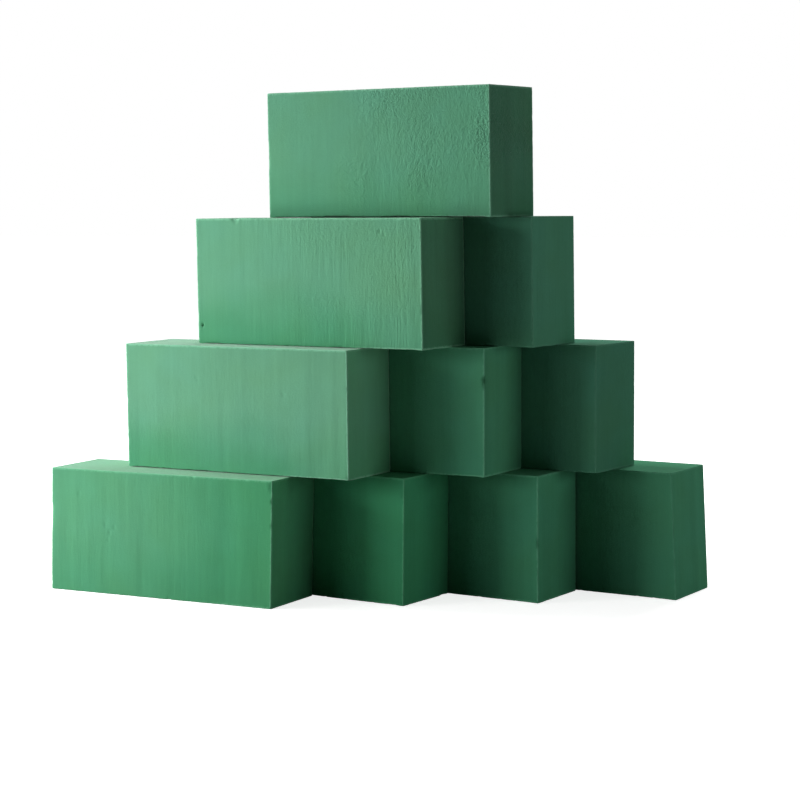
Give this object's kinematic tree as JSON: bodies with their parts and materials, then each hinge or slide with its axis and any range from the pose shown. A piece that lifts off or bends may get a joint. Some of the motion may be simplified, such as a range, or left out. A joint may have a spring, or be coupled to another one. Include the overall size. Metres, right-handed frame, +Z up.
{
  "type": "floral foam brick",
  "caption": "Stack of loose rectangular bricks of dry green floral foam, laid in rows that narrow towards the top, each brick free to lift off.",
  "frame": {"origin": "on the surface that the stack stands on, under the middle of the stack's bounding box", "axes": "+X along the bricks' length, to the ends that stand out row by row; +Y across the rows, from the front long faces to the back; +Z up"},
  "size_m": [0.5128, 0.3002, 0.4401],
  "materials": {
    "foam_bottom": "dry open-cell phenolic foam, wire cut, matt, the deepest green of the stack",
    "foam_lower": "dry open-cell phenolic foam, wire cut, matt green",
    "foam_upper": "dry open-cell phenolic foam, wire cut, matt green",
    "foam_top": "dry open-cell phenolic foam, wire cut, matt, the greyest green of the stack"
  },
  "bodies": {
    "bottom_brick_1": {"bottom_brick_1": "foam_bottom"},
    "bottom_brick_2": {"bottom_brick_2": "foam_bottom"},
    "bottom_brick_3": {"bottom_brick_3": "foam_bottom"},
    "bottom_brick_4": {"bottom_brick_4": "foam_bottom"},
    "lower_brick_1": {"lower_brick_1": "foam_lower"},
    "lower_brick_2": {"lower_brick_2": "foam_lower"},
    "lower_brick_3": {"lower_brick_3": "foam_lower"},
    "upper_brick_1": {"upper_brick_1": "foam_upper"},
    "upper_brick_2": {"upper_brick_2": "foam_upper"},
    "top_brick": {"top_brick": "foam_top"}
  },
  "joints": [
    {"name": "bottom_brick_2_lift", "type": "slide", "parent": "bottom_brick_1", "child": "bottom_brick_2", "axis": [0, 0, 1], "range_m": [0, 0.12]},
    {"name": "bottom_brick_3_lift", "type": "slide", "parent": "bottom_brick_2", "child": "bottom_brick_3", "axis": [0, 0, 1], "range_m": [0, 0.12]},
    {"name": "bottom_brick_4_lift", "type": "slide", "parent": "bottom_brick_3", "child": "bottom_brick_4", "axis": [0, 0, 1], "range_m": [0, 0.12]},
    {"name": "lower_brick_1_lift", "type": "slide", "parent": "bottom_brick_4", "child": "lower_brick_1", "axis": [0, 0, 1], "range_m": [0, 0.12]},
    {"name": "lower_brick_2_lift", "type": "slide", "parent": "lower_brick_1", "child": "lower_brick_2", "axis": [0, 0, 1], "range_m": [0, 0.12]},
    {"name": "lower_brick_3_lift", "type": "slide", "parent": "lower_brick_2", "child": "lower_brick_3", "axis": [0, 0, 1], "range_m": [0, 0.12]},
    {"name": "upper_brick_1_lift", "type": "slide", "parent": "lower_brick_3", "child": "upper_brick_1", "axis": [0, 0, 1], "range_m": [0, 0.12]},
    {"name": "upper_brick_2_lift", "type": "slide", "parent": "upper_brick_1", "child": "upper_brick_2", "axis": [0, 0, 1], "range_m": [0, 0.12]},
    {"name": "top_brick_lift", "type": "slide", "parent": "upper_brick_2", "child": "top_brick", "axis": [0, 0, 1], "range_m": [0, 0.12]}
  ]
}
